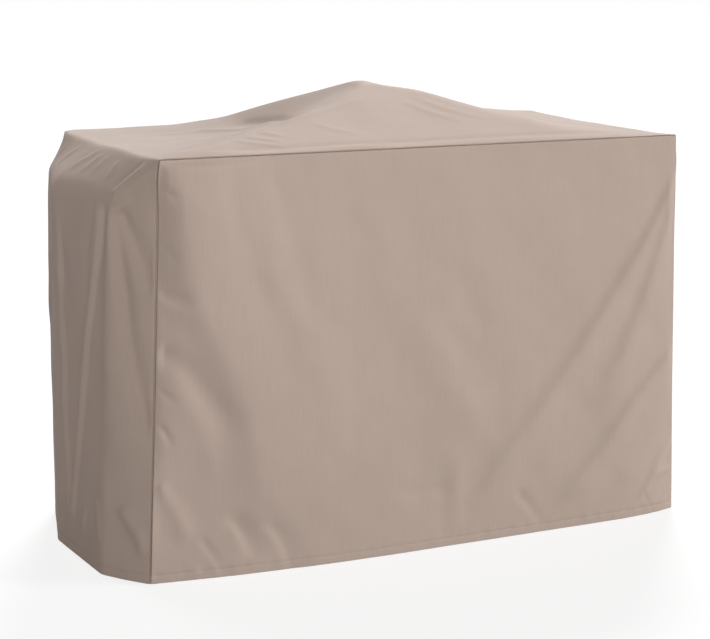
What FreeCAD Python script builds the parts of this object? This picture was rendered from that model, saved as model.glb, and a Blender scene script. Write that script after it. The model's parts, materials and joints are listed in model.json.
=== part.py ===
"""Fitted cloth cover for a wide grill cart, in the shape it takes when it hangs over the cart.

Three cloth panels are sewn together: a front, a back, and one strip that runs up the left end,
over the top and down the right end. The top stands up as a low tent over the grill's lid, and the
left end is pushed out where the cloth passes over a side handle. The two seams are bound inside
with tape, the hem is turned up twice, and four hook-and-loop straps inside the ends tie it down.

Frame: +Z up, front towards -Y, origin on the floor under the middle of the bounding box. In mm.
"""
import FreeCAD, Part
import Sketcher
import os

from FreeCAD import Matrix, Placement, Rotation, Vector

SIZES = [
    ("top_length", 1473, "front top seam from corner to corner"),
    ("top_depth", 795, "front top seam to back top seam"),
    ("drop", 1067, "top seams down to the hem"),
    ("tent_rise", 130, "ridge above the top seams"),
    ("ridge_length", 156, "ridge of the tent, front to back"),
    ("ridge_shift", 20, "ridge to the left of the middle of the top"),
    ("front_bow", 47, "middle of the front hem, forward of its corners"),
    ("back_bow", 47, "middle of the back hem, behind its corners"),
    ("bow_shoulder", 322, "hem corner to the place where the bow is full"),
    ("left_flare", 48.5, "left seams at the hem, outside their top corners"),
    ("right_flare", 32, "right seams at the hem, outside their top corners"),
    ("bulge_reach", 94, "left end pushed out past its front seam by the side handle"),
    ("back_reach", 70, "left end pushed out past its back seam, where the handle is further in"),
    ("bulge_run", 119, "left seam to the bend where the push is full, front to back"),
    ("crown_reach", 33, "middle of the left end, further out than the front bend"),
    ("crown_back", 15, "middle of the left end, behind the middle of the cover"),
    ("shoulder_drop", 95, "side handle below the top seams"),
    ("cloth_thickness", 1, "coated woven cloth"),
    ("hem_width", 25, "turned-up hem"),
    ("hem_thickness", 2, "the two turned-up layers"),
    ("binding_width", 12, "tape over the seam allowances"),
    ("binding_thickness", 1.6, "tape with the allowances folded in it"),
    ("strap_height", 40, "floor to the lower edge of a strap, along the wall"),
    ("left_setback", 15, "bend of the left end to a strap's sewn tab"),
    ("right_setback", 110, "right seam to a strap's sewn tab"),
    ("tab_length", 30, "sewn tab, folded and stitched through"),
    ("webbing_width", 25, "strap webbing"),
    ("webbing_thickness", 1.6, "strap webbing"),
    ("webbing_length", 165, "free webbing past its tab"),
    ("webbing_round", 8, "rounded free end"),
    ("patch_length", 60, "hook patch"),
    ("patch_width", 20, "hook patch"),
    ("patch_thickness", 1.5, "hook patch and loop patch, each"),
    ("patch_inset", 8, "hook patch to the free end of its webbing"),
    ("patch_round", 3, "rounded corners of the patches"),
    ("loop_margin", 2.5, "loop patch past the hook patch, all round"),
    ("strap_gap", 0.3, "between a strap and what it lies against"),
]

PAST = 60.0   # how far a cutting form stands past the faces that it leaves alone

doc = FreeCAD.newDocument("grill_cover")
sheet = doc.addObject("Spreadsheet::Sheet", "Sizes")
for row, (alias, value, note) in enumerate(SIZES, start=1):
    sheet.set(f"A{row}", alias)
    sheet.set(f"B{row}", str(value))
    sheet.setAlias(f"B{row}", alias)
    sheet.set(f"C{row}", note)
doc.recompute()


def size(alias):
    """The value of one cell of the sheet."""
    return float(sheet.get(alias))


# ---- where the cloth is ------------------------------------------------------------------------

HALF_LENGTH = size("top_length") / 2
HALF_DEPTH = size("top_depth") / 2
DROP = size("drop")
LEFT_HEM = -HALF_LENGTH - size("left_flare")
RIGHT_HEM = HALF_LENGTH + size("right_flare")
BEND_X = LEFT_HEM - size("bulge_reach")
BACK_BEND_X = LEFT_HEM - size("back_reach")
CROWN_X = BEND_X - size("crown_reach")
FRONT_Y = -HALF_DEPTH - size("front_bow")
BACK_Y = HALF_DEPTH + size("back_bow")
RIDGE_Z = DROP + size("tent_rise")
SHOULDER_Z = DROP - size("shoulder_drop")
MIDDLE = Vector((CROWN_X + RIGHT_HEM) / 2, (FRONT_Y + BACK_Y) / 2, 0)


def at(x, y, z):
    """A point given from the middle of the top, in the frame of the whole cover."""
    return Vector(x, y, z) - MIDDLE


TOP_FRONT_LEFT = at(-HALF_LENGTH, -HALF_DEPTH, DROP)
TOP_FRONT_RIGHT = at(HALF_LENGTH, -HALF_DEPTH, DROP)
TOP_BACK_LEFT = at(-HALF_LENGTH, HALF_DEPTH, DROP)
TOP_BACK_RIGHT = at(HALF_LENGTH, HALF_DEPTH, DROP)
HEM_FRONT_LEFT = at(LEFT_HEM, -HALF_DEPTH, 0)
HEM_FRONT_RIGHT = at(RIGHT_HEM, -HALF_DEPTH, 0)
HEM_BACK_LEFT = at(LEFT_HEM, HALF_DEPTH, 0)
HEM_BACK_RIGHT = at(RIGHT_HEM, HALF_DEPTH, 0)
BOW_FRONT_LEFT = at(LEFT_HEM + size("bow_shoulder"), FRONT_Y, 0)
BOW_FRONT_RIGHT = at(RIGHT_HEM - size("bow_shoulder"), FRONT_Y, 0)
BOW_BACK_LEFT = at(LEFT_HEM + size("bow_shoulder"), BACK_Y, 0)
BOW_BACK_RIGHT = at(RIGHT_HEM - size("bow_shoulder"), BACK_Y, 0)
BEND_FRONT = at(BEND_X, -HALF_DEPTH + size("bulge_run"), 0)
BEND_BACK = at(BACK_BEND_X, HALF_DEPTH - size("bulge_run"), 0)
CROWN = at(CROWN_X, size("crown_back"), 0)
RIDGE_FRONT = at(-size("ridge_shift"), -size("ridge_length") / 2, RIDGE_Z)
RIDGE_BACK = at(-size("ridge_shift"), size("ridge_length") / 2, RIDGE_Z)
LEAN = TOP_FRONT_LEFT - HEM_FRONT_LEFT
SHOULDER_FRONT = BEND_FRONT + LEAN * (SHOULDER_Z / DROP)

# Each flat stretch of cloth: the side it belongs to, and three points on its outer face, taken
# anticlockwise as seen from outside.
FACETS = [
    ("front", BOW_FRONT_LEFT, BOW_FRONT_RIGHT, TOP_FRONT_RIGHT),
    ("front", HEM_FRONT_LEFT, BOW_FRONT_LEFT, TOP_FRONT_LEFT),
    ("front", BOW_FRONT_RIGHT, HEM_FRONT_RIGHT, TOP_FRONT_RIGHT),
    ("back", BOW_BACK_RIGHT, BOW_BACK_LEFT, TOP_BACK_LEFT),
    ("back", BOW_BACK_LEFT, HEM_BACK_LEFT, TOP_BACK_LEFT),
    ("back", HEM_BACK_RIGHT, BOW_BACK_RIGHT, TOP_BACK_RIGHT),
    ("ends", HEM_FRONT_RIGHT, HEM_BACK_RIGHT, TOP_BACK_RIGHT),
    ("ends", BEND_FRONT, HEM_FRONT_LEFT, TOP_FRONT_LEFT),
    ("ends", CROWN, BEND_FRONT, BEND_FRONT + LEAN),
    ("ends", BEND_BACK, CROWN, CROWN + LEAN),
    ("ends", HEM_BACK_LEFT, BEND_BACK, BEND_BACK + LEAN),
    ("ends", SHOULDER_FRONT, TOP_FRONT_LEFT, TOP_BACK_LEFT),
    ("top", TOP_FRONT_LEFT, TOP_FRONT_RIGHT, RIDGE_FRONT),
    ("top", TOP_BACK_RIGHT, TOP_BACK_LEFT, RIDGE_BACK),
    ("top", TOP_FRONT_RIGHT, TOP_BACK_RIGHT, RIDGE_BACK),
    ("top", TOP_BACK_LEFT, TOP_FRONT_LEFT, RIDGE_FRONT),
]


def outward(first, second, third):
    """Unit normal of the facet through three points taken anticlockwise from outside."""
    return (second - first).cross(third - first).normalize()


def form(name, front, back, ends, top, low=0.0, high=2 * RIDGE_Z):
    """The solid that the cover's outside encloses, with each side moved in by its own distance.

    It is a block from height low to height high, trimmed by the plane of each facet. A side's
    distance is how far its planes lie inside the cloth's outer face, and -PAST leaves them outside.
    """
    inset = {"front": front, "back": back, "ends": ends, "top": top}
    reach = 2 * (RIGHT_HEM - CROWN_X)
    solid = Part.makeBox(reach, reach, high - low, Vector(-reach / 2, -reach / 2, low))
    for side, first, second, third in FACETS:
        normal = outward(first, second, third)
        trim = Part.makeBox(2 * reach, 2 * reach, 2 * reach, Vector(-reach, -reach, 0))
        trim.Placement = Placement(first - normal * inset[side], Rotation(Vector(0, 0, 1), normal))
        solid = solid.cut(trim)
    feature = doc.addObject("Part::Feature", name)
    feature.Shape = solid
    feature.Placement = Placement()
    return feature


def cut(name, base, tool):
    """One form with another taken out of it."""
    feature = doc.addObject("Part::Cut", name)
    feature.Base = base
    feature.Tool = tool
    return feature


def fuse(name, *pieces):
    """One piece of cloth from its wall and its turned-up hem."""
    feature = doc.addObject("Part::MultiFuse", name)
    feature.Shapes = list(pieces)
    feature.Refine = True
    return feature


CLOTH = size("cloth_thickness")
HEM_INSIDE = CLOTH + size("hem_thickness")
HEM_TOP = size("hem_width")
BOUND = CLOTH + size("binding_thickness")
BOUND_EDGE = CLOTH + size("binding_width")


def face_panel(side):
    """Front or back panel: the side's wall, and its hem turned up inside."""
    other = {"front": "back", "back": "front"}[side]
    skin = form(f"{side}_skin", **{side: 0, other: 0, "ends": 0, "top": 0})
    behind = form(f"{side}_behind", **{side: CLOTH, other: -PAST, "ends": -PAST, "top": -PAST},
                  low=-PAST)
    wall = cut(f"{side}_wall", skin, behind)
    turned = form(f"{side}_turned", **{side: CLOTH, other: CLOTH, "ends": CLOTH, "top": CLOTH},
                  high=HEM_TOP)
    clear = form(f"{side}_clear", **{side: HEM_INSIDE, other: -PAST, "ends": -PAST, "top": -PAST},
                 low=-PAST)
    hem = cut(f"{side}_hem", turned, clear)
    return fuse(f"{side}_panel", wall, hem)


def strip_panel():
    """The one strip that makes both ends and the top, between the front and back panels."""
    skin = form("strip_skin", front=CLOTH, back=CLOTH, ends=0, top=0)
    hollow = form("strip_hollow", front=-PAST, back=-PAST, ends=CLOTH, top=CLOTH, low=-PAST)
    wall = cut("strip_wall", skin, hollow)
    turned = form("strip_turned", front=HEM_INSIDE, back=HEM_INSIDE, ends=CLOTH, top=CLOTH,
                  high=HEM_TOP)
    clear = form("strip_clear", front=-PAST, back=-PAST, ends=HEM_INSIDE, top=-PAST, low=-PAST)
    hem = cut("strip_hem", turned, clear)
    return fuse("top_and_ends_panel", wall, hem)


def seam_binding(side):
    """Tape inside one seam, up one corner, along the top and down the other corner."""
    other = {"front": "back", "back": "front"}[side]
    inside = form(f"{side}_inside", **{side: CLOTH, other: CLOTH, "ends": CLOTH, "top": CLOTH},
                  low=HEM_TOP)
    behind = form(f"{side}_behind_tape", **{side: BOUND, other: -PAST, "ends": -PAST, "top": -PAST},
                  low=-PAST)
    layer = cut(f"{side}_layer", inside, behind)
    window = form(f"{side}_window", **{side: -PAST, other: -PAST, "ends": BOUND_EDGE,
                                       "top": BOUND_EDGE}, low=-PAST)
    return cut(f"{side}_seam_binding", layer, window)


# ---- straps ------------------------------------------------------------------------------------

# Each strap: the hem point it is measured from, the point its wall runs towards, and its setback.
STRAPS = {
    "front_left": (BEND_FRONT, CROWN, LEAN, "left_setback"),
    "back_left": (BEND_BACK, CROWN, LEAN, "left_setback"),
    "front_right": (HEM_FRONT_RIGHT, HEM_BACK_RIGHT, TOP_BACK_RIGHT - HEM_BACK_RIGHT,
                    "right_setback"),
    "back_right": (HEM_BACK_RIGHT, HEM_FRONT_RIGHT, TOP_BACK_RIGHT - HEM_BACK_RIGHT,
                   "right_setback"),
}


def strap_seat(start, end, lean):
    """Frame on the inner face of an end wall: Z into the cover, Y up the wall, X along it.

    Also says which way along X the strap runs, as 1 or -1.
    """
    along = (end - start).normalize()
    inward = along.cross(lean).normalize()
    if inward.dot(-start) < 0:
        inward = -inward
    sideways = Vector(along)
    up = inward.cross(sideways)
    way = 1
    if up.z < 0:
        sideways = -sideways
        up = -up
        way = -1
    base = start + inward * CLOTH
    axes = Matrix(sideways.x, up.x, inward.x, base.x,
                  sideways.y, up.y, inward.y, base.y,
                  sideways.z, up.z, inward.z, base.z,
                  0, 0, 0, 1)
    return Placement(axes), way


def slab(name, seat, way, near, length, low, width, lift, thickness, rounds):
    """A flat rectangle of even thickness on an end wall, sized by expressions on the sheet.

    near and length run along the wall from its bend or seam, low and width up the wall, and lift
    and thickness into the cover. rounds gives a corner radius and whether it is at both ends.
    """
    body = doc.addObject("PartDesign::Body", name)
    body.Label = name
    plane = [item for item in body.Origin.OriginFeatures if item.Role == "XY_Plane"][0]
    sketch = body.newObject("Sketcher::SketchObject", f"{name}_outline")
    sketch.AttachmentSupport = [(plane, "")]
    sketch.MapMode = "FlatFace"
    corners = [Vector(way * x, y, 0) for x, y in ((1, 1), (2, 1), (2, 2), (1, 2))]
    for index in range(4):
        line = Part.LineSegment(corners[index], corners[(index + 1) % 4])
        sketch.addGeometry(line, False)
    for index in range(4):
        sketch.addConstraint(Sketcher.Constraint("Coincident", index, 2, (index + 1) % 4, 1))
    for index, kind in enumerate(("Horizontal", "Vertical", "Horizontal", "Vertical")):
        sketch.addConstraint(Sketcher.Constraint(kind, index))
    origin, start, end, side = (-1, 1), (0, 1), (0, 2), (1, 2)
    spans = [("near", "DistanceX", origin, start, near), ("length", "DistanceX", start, end, length),
             ("low", "DistanceY", origin, start, low), ("width", "DistanceY", end, side, width)]
    for label, kind, first, second, value in spans:
        if way < 0 and kind == "DistanceX":
            first, second = second, first
        number = sketch.addConstraint(Sketcher.Constraint(kind, *first, *second, 1))
        sketch.renameConstraint(number, label)
        sketch.setExpression(f"Constraints.{label}", value)
    sketch.setExpression("AttachmentOffset.Base.z", lift)
    pad = body.newObject("PartDesign::Pad", f"{name}_pad")
    pad.Profile = sketch
    pad.setExpression("Length", thickness)
    sketch.Visibility = False
    doc.recompute()
    if rounds:
        radius, both_ends = rounds
        far = max(way * vertex.Point.x for vertex in pad.Shape.Vertexes)
        edges = []
        for index, edge in enumerate(pad.Shape.Edges, start=1):
            ends = [vertex.Point for vertex in edge.Vertexes]
            upright = abs(ends[0].z - ends[1].z) > edge.Length / 2
            if upright and (both_ends or way * ends[0].x > far - edge.Length / 2):
                edges.append(f"Edge{index}")
        rounded = body.newObject("PartDesign::Fillet", f"{name}_rounded")
        rounded.Base = (pad, edges)
        rounded.setExpression("Radius", radius)
    body.Placement = seat
    return body


def strap(corner):
    """One strap: its sewn tab and loop patch on the wall, and the webbing and hook patch that swing."""
    start, end, lean, setback = STRAPS[corner]
    seat, way = strap_seat(start, end, lean)
    back_to = f"Sizes.{setback}"
    hinge = f"{back_to} + Sizes.tab_length"
    stack = "2 * Sizes.patch_thickness + Sizes.strap_gap"
    tip = f"{hinge} + Sizes.webbing_length"
    patch_near = f"{tip} - Sizes.patch_inset - Sizes.patch_length"
    patch_low = "Sizes.strap_height + (Sizes.webbing_width - Sizes.patch_width) / 2"
    pieces = [
        slab(f"strap_tab_{corner}", seat, way, back_to, "Sizes.tab_length", "Sizes.strap_height",
             "Sizes.webbing_width", "0", f"{stack} + Sizes.webbing_thickness", None),
        slab(f"loop_patch_{corner}", seat, way, f"{patch_near} - Sizes.loop_margin",
             "Sizes.patch_length + 2 * Sizes.loop_margin", f"{patch_low} - Sizes.loop_margin",
             "Sizes.patch_width + 2 * Sizes.loop_margin", "0", "Sizes.patch_thickness",
             ("Sizes.patch_round", True)),
        slab(f"strap_webbing_{corner}", seat, way, f"{hinge} + Sizes.strap_gap",
             "Sizes.webbing_length - Sizes.strap_gap", "Sizes.strap_height",
             "Sizes.webbing_width", stack, "Sizes.webbing_thickness",
             ("Sizes.webbing_round", False)),
        slab(f"hook_patch_{corner}", seat, way, patch_near, "Sizes.patch_length", patch_low,
             "Sizes.patch_width", "Sizes.patch_thickness + Sizes.strap_gap",
             "Sizes.patch_thickness", ("Sizes.patch_round", True)),
    ]
    print_hinge(corner, seat, way, setback)
    return pieces


def print_hinge(corner, seat, way, setback):
    """Say where a strap turns: a line up the wall, on the strap's inner face at the end of its tab."""
    along = size(setback) + size("tab_length")
    height = size("strap_height") + size("webbing_width") / 2
    depth = 2 * size("patch_thickness") + size("strap_gap") + size("webbing_thickness")
    point = seat.multVec(Vector(way * along, height, depth))
    axis = seat.Rotation.multVec(Vector(0, -way, 0))
    print(corner, "hinge at m", [round(value / 1000, 6) for value in point],
          "axis", [round(value, 6) for value in axis])


# ---- the whole cover ---------------------------------------------------------------------------

parts = [face_panel("front"), face_panel("back"), strip_panel()]
parts += [seam_binding("front"), seam_binding("back")]
for corner in STRAPS:
    parts += strap(corner)

doc.recompute()
for item in doc.Objects:
    if "Invalid" in item.State or "Error" in item.State:
        raise RuntimeError(f"{item.Name} did not build: {item.State}")
for item in parts:
    if item.Shape.isNull() or not item.Shape.isValid():
        raise RuntimeError(f"{item.Label} is not a valid shape")
    print(item.Label, "solids", len(item.Shape.Solids), "volume cm3", round(item.Shape.Volume / 1000, 2))

os.makedirs("parts", exist_ok=True)
for item in parts:
    item.Shape.exportStep(os.path.join("parts", f"{item.Label}.step"))
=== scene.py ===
"""Fitted cloth cover for a wide grill cart: the looks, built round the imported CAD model.

Three cuts of coated polyester are sewn together: a front, a back, and one strip that runs up the
left end, over the top and down the right end. Each cut is a surface worked out from its outline,
with its folds added along its normal, its seam edges rolled in and its hem turned up. Tape binds
the two seams inside, and four hook-and-loop straps lie inside the ends, just above the hem.

Frame: the CAD's own. +Z up, front towards -Y, metres.
"""

import json
import math

import bpy
import numpy as np
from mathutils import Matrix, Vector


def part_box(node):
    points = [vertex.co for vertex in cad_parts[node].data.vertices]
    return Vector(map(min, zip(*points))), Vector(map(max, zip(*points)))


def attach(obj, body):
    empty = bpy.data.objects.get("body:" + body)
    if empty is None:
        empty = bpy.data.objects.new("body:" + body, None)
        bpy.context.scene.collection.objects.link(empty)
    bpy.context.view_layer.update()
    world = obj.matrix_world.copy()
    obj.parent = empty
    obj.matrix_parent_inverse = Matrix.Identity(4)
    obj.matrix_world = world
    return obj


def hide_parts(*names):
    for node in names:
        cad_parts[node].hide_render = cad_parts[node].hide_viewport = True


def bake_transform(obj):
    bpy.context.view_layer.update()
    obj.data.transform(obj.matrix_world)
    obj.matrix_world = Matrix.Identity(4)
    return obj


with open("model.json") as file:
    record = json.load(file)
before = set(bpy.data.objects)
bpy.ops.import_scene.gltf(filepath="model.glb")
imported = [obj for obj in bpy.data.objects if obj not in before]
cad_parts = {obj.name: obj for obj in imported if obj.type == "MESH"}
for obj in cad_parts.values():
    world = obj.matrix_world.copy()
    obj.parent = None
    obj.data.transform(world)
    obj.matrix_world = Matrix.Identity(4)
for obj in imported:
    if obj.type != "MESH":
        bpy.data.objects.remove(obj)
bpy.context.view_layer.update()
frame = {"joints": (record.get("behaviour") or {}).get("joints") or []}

MM = 0.001

# ---- sizes of the cover ------------------------------------------------------------------------

front_low, front_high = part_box("front_panel")
back_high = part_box("back_panel")[1]

LEFT_HEM_X = front_low[0]                 # hem corners
RIGHT_HEM_X = front_high[0]
LEFT_TOP_X = LEFT_HEM_X + 48.5 * MM       # top corners: both ends flare out towards the hem
RIGHT_TOP_X = RIGHT_HEM_X - 32 * MM
SEAM_Z = front_high[2]                    # top seams above the hem
BOW = 47 * MM                             # middle of a long hem, outside its corners
FRONT_Y = front_low[1] + BOW              # the seams' own planes
BACK_Y = back_high[1] - BOW
RIDGE_X = LEFT_TOP_X + 716.5 * MM         # ridge of the tent over the grill's lid
FRONT_SLOPE = 0.390                       # rise of the tent's front and back over its run
BACK_SLOPE = 0.418

CLOTH = 0.9 * MM
STITCH_HEIGHT = 23.5 * MM                 # the one row of stitching of the turned-up hem
TURN = 2.3 * MM                           # outer face of the wall to the face of the turned-up layer
TURN_ROUND = 1.0 * MM
CLEAR = 1.0 * MM                          # hem above the floor, and straps off the uneven cloth
SEAM_DEPTH = 8.0 * MM                     # depth of the groove at whose bottom the two cuts meet
SEAM_ROUND = 2.4 * MM                     # roll of each cut's edge into it
SEAM_GAP = 2.7 * MM                       # from that roll to the corner where the faces would meet

# Middle of each seam's corner, pointing into the cover, for the front seam. The back one mirrors it.
INTO_LEFT = np.array([0.60, 0.80, 0.0])
INTO_TOP = np.array([0.0, 0.92, -0.39])
INTO_RIGHT = np.array([-0.71, 0.71, 0.0])
# Square to each of those, from the long side's cut to the strip's.
OVER_LEFT = np.array([-0.80, 0.60, 0.0])
OVER_TOP = np.array([0.0, 0.39, 0.92])
OVER_RIGHT = np.array([0.71, 0.71, 0.0])
MIRROR_Y = np.array([1.0, -1.0, 1.0])

TAPE = 1.0 * MM                           # binding tape
STITCH = 3.2 * MM                         # thread that shows of each stitch
STITCH_PITCH = 4.0 * MM
THREAD = 0.5 * MM

HALF_WEBBING = 12.5 * MM                  # half the width of the strap webbing
HALF_HOOK = 10 * MM                       # and of the hook patch
WEBBING = 1.6 * MM                        # thickness of the webbing
LAYER = 1.65 * MM                         # one layer of folded webbing to the next
TIP_ROUND = 8 * MM                        # corners of the webbing's free end
PATCH_ROUND = 3 * MM                      # and of both patches

# Every stitch and every hook is five rings of four corners.
CORNERS = np.radians([45, 135, 225, 315])


# ---- formulas ----------------------------------------------------------------------------------

def ramp(past, rounding):
    """Nothing before a corner, the distance past it after, and a parabola for rounding each way."""
    rounding = np.maximum(rounding, 1e-6)
    eased = (past + rounding) ** 2 / (4 * rounding)
    return np.where(past <= -rounding, 0.0, np.where(past >= rounding, past, eased))


def ease(value, start, end):
    """0 up to start, 1 from end on, and a smooth cubic step between."""
    share = np.clip((value - start) / (end - start), 0, 1)
    return share * share * (3 - 2 * share)


def soft_line(x, points, rounding):
    """Height at x of straight lines through points, every corner rounded by a parabola."""
    xs, heights = np.array(points, float).T
    slopes = np.diff(heights) / np.diff(xs)
    height = heights[0] + slopes[0] * (x - xs[0])
    for corner, before, after in zip(xs[1:-1], slopes[:-1], slopes[1:]):
        height = height + (after - before) * ramp(x - corner, rounding)
    return height


def ripple(a, b, seed, length, height, count=14):
    """Gentle unevenness: count cosine waves added up, about length long, in random directions.

    They are scaled so that the root mean square of their sum is height.
    """
    rng = np.random.default_rng(seed)
    turns = rng.uniform(0, math.pi, count)
    numbers = 2 * math.pi / (length * rng.uniform(0.6, 1.8, count))
    phases = rng.uniform(0, 2 * math.pi, count)
    total = np.zeros(np.broadcast(a, b).shape)
    for turn, number, phase in zip(turns, numbers, phases):
        total += np.cos(number * (a * math.cos(turn) + b * math.sin(turn)) + phase)
    return total * height * math.sqrt(2 / count)


def smooth_path(points, count=24):
    """Points along a Catmull-Rom curve through the given ones, count of them in all."""
    points = np.array(points, float)
    padded = np.vstack([2 * points[0] - points[1], points, 2 * points[-1] - points[-2]])
    at = np.linspace(0, len(points) - 1 - 1e-9, count)
    first = at.astype(int)
    t = (at - first)[:, None]
    p0, p1, p2, p3 = (padded[first + k] for k in range(4))
    return 0.5 * (2 * p1 + (p2 - p0) * t + (2 * p0 - 5 * p1 + 4 * p2 - p3) * t ** 2
                  + (3 * p1 - p0 - 3 * p2 + p3) * t ** 3)


def fold(a, b, path, rise, width, skew, fade):
    """Height of one fold over points (a, b): a ridge, or a valley where rise is negative.

    Across the fold the height is rise * exp(-(d / w)^2), where d is the distance to its path. The
    width w changes evenly from width[0] at its start to width[1] at its end, and it is (1 + skew)
    times that to the left of the path and (1 - skew) to the right. Along the path the height eases
    in over the first fade[0] of its length and out over the last fade[1].
    """
    line = smooth_path(path)
    start, step = line[:-1], np.diff(line, axis=0)
    lengths = np.hypot(*step.T)
    before = np.concatenate([[0], np.cumsum(lengths)[:-1]])
    points = np.stack(np.broadcast_arrays(a, b), -1).reshape(-1, 1, 2)
    reach = points - start
    share = np.clip((reach * step).sum(-1) / lengths ** 2, 0, 1)
    apart = reach - share[..., None] * step
    distance = (apart ** 2).sum(-1)
    near = distance.argmin(1)
    row = np.arange(len(points))
    distance = np.sqrt(distance[row, near])
    side = np.sign(step[near, 0] * reach[row, near, 1] - step[near, 1] * reach[row, near, 0])
    along = (before[near] + share[row, near] * lengths[near]) / lengths.sum()
    wide = (width[0] + (width[1] - width[0]) * along) * (1 + skew * side)
    strength = ease(along, 0, fade[0]) * (1 - ease(along, 1 - fade[1], 1))
    height = rise * strength * np.exp(-(distance / wide) ** 2)
    return height.reshape(np.broadcast(a, b).shape)


def folds(a, b, listed):
    """All the folds of one list, added up. Their heights and widths are in millimetres."""
    return sum(fold(a, b, path, rise * MM, (start * MM, end * MM), skew, fade)
               for path, rise, (start, end), skew, fade in listed)


def outward(points, way):
    """Unit normal at every point of a grid, from the differences along its two directions.

    way is 1 where columns and then rows turn to it by the right hand, and -1 where they don't.
    """
    rows, columns = np.gradient(points, axis=0), np.gradient(points, axis=1)
    normal = way * np.cross(columns, rows)
    return normal / np.maximum(np.linalg.norm(normal, axis=2, keepdims=True), 1e-12)


def seam_edge(d):
    """A cut's edge where it dives into a seam, d along the cloth from its end.

    Says how far the point is from the seam along the face, and how deep it is in the groove. The
    two cuts touch at the groove's bottom. From there the cloth comes up to SEAM_GAP from the
    seam, turns over a rounded shoulder and runs on flat.
    """
    over = ramp(d - SEAM_DEPTH, SEAM_ROUND)
    return SEAM_GAP * ease(d, 0, SEAM_DEPTH) + over, SEAM_DEPTH - d + over


def hem_turn(v):
    """The turned-up hem, v along the cloth from its lowest point and negative on the inner layer.

    Says its height above the floor, and how far the cloth is inside the wall's outer face. The
    height follows the hypotenuse of v and TURN_ROUND, so the cloth turns up in a hyperbola.
    """
    bend = np.hypot(v, TURN_ROUND)
    return CLEAR + bend - TURN_ROUND, TURN * (0.5 - 0.5 * v / bend)


# ---- meshes ------------------------------------------------------------------------------------

def mesh_object(name, points, faces, uv=None):
    """A smooth mesh piece from points, arrays of faces, and a UV for each point if there is one."""
    mesh = bpy.data.meshes.new(name)
    mesh.from_pydata(points.reshape(-1, 3).tolist(), [], [face for kind in faces for face in kind.tolist()])
    mesh.polygons.foreach_set("use_smooth", np.ones(len(mesh.polygons), bool))
    if uv is not None:
        layer = mesh.uv_layers.new(name="cut")
        corners = np.concatenate([kind.ravel() for kind in faces])
        layer.data.foreach_set("uv", uv.reshape(-1, 2)[corners].ravel())
    mesh.update()
    piece = bpy.data.objects.new(name, mesh)
    bpy.context.collection.objects.link(piece)
    return piece


def grid_faces(rows, columns, way, wrap=False):
    """Four-cornered faces between the points of a grid, closed round its columns if it wraps.

    They look to the side that way gives, as in outward.
    """
    first = np.arange((rows - 1) * columns).reshape(rows - 1, columns)
    if not wrap:
        first = first[:, :-1]
    column = first % columns
    right = first - column + (column + 1) % columns
    corners = [first, right, right + columns, first + columns]
    if way < 0:
        corners.reverse()
    return np.stack(corners, -1).reshape(-1, 4)


def cloth_piece(name, points, uv, way, materials, thickness=CLOTH):
    """A cut of cloth from a grid on its outer face, given its thickness inwards."""
    rows, columns = points.shape[:2]
    piece = mesh_object(name, points, [grid_faces(rows, columns, way)], uv)
    for material in materials:
        piece.data.materials.append(material)
    thick = piece.modifiers.new("thickness", "SOLIDIFY")
    thick.thickness = thickness
    thick.offset = -1
    thick.use_even_offset = False
    thick.material_offset = 1
    thick.material_offset_rim = 1
    return piece


def spread(length, step):
    """Shares from 0 to 1 for even steps of about the given size."""
    return np.linspace(0, 1, max(2, round(length / step) + 1))


def bar(name, rings, material, uv):
    """A closed solid from rings of points, each joined to the next one, with both ends capped.

    Its faces are turned round where they would look inwards, which makes their volume negative.
    """
    count, around = rings.shape[:2]
    sides = grid_faces(count, around, 1, wrap=True)
    arms = rings.reshape(-1, 3)[sides] - rings.mean((0, 1))
    if (arms[:, 0] * np.cross(arms[:, 1], arms[:, 2])).sum() < 0:
        sides = sides[:, ::-1]
        caps = np.array([np.arange(around), np.arange(count * around - 1, (count - 1) * around - 1, -1)])
    else:
        caps = np.array([np.arange(around - 1, -1, -1), np.arange((count - 1) * around, count * around)])
    piece = mesh_object(name, rings, [sides, caps], uv)
    piece.data.materials.append(material)
    return piece


def pins(rings, way, caps):
    """Faces of many small pins, each of five rings of four corners with the given caps."""
    one = np.concatenate([grid_faces(5, 4, way, wrap=True), caps])
    return (one + 20 * np.arange(len(rings))[:, None, None]).reshape(-1, 4)


def stitches(name, runs):
    """Rows of stitches along runs, each a line of points and the way out of the cloth at each.

    One stitch shows in every pitch. Its height and its thickness follow half a sine: its middle is
    0.4 of the thread above the cloth's face, and both its ends sink in by 0.35 of it.
    """
    share = np.linspace(0, 1, 5)
    swell = np.sin(math.pi * share)[:, None]
    rings = []
    for points, out in runs:
        passed = np.concatenate([[0], np.cumsum(np.linalg.norm(np.diff(points, axis=0), axis=1))])
        starts = (np.arange(int(passed[-1] / STITCH_PITCH)) + 0.1) * STITCH_PITCH
        place = starts[:, None] + share * STITCH
        line = np.stack([np.interp(place, passed, values) for values in points.T], -1)
        rise = np.stack([np.interp(place, passed, values) for values in out.T], -1)
        ahead = line[:, -1:] - line[:, :1]
        ahead = ahead / np.linalg.norm(ahead, axis=-1, keepdims=True)
        aside = np.cross(rise, ahead)
        line = line + rise * (0.75 * swell - 0.35) * THREAD
        spoke = (np.cos(CORNERS)[:, None] * aside[..., None, :]
                 + np.sin(CORNERS)[:, None] * rise[..., None, :])
        rings.append(line[..., None, :] + spoke * (THREAD / 2 * (0.5 + 0.5 * swell))[..., None])
    rings = np.concatenate(rings)
    piece = mesh_object(name, rings, [pins(rings, 1, [[3, 2, 1, 0], [16, 17, 18, 19]])])
    piece.data.materials.append(thread_material)
    return piece


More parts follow.
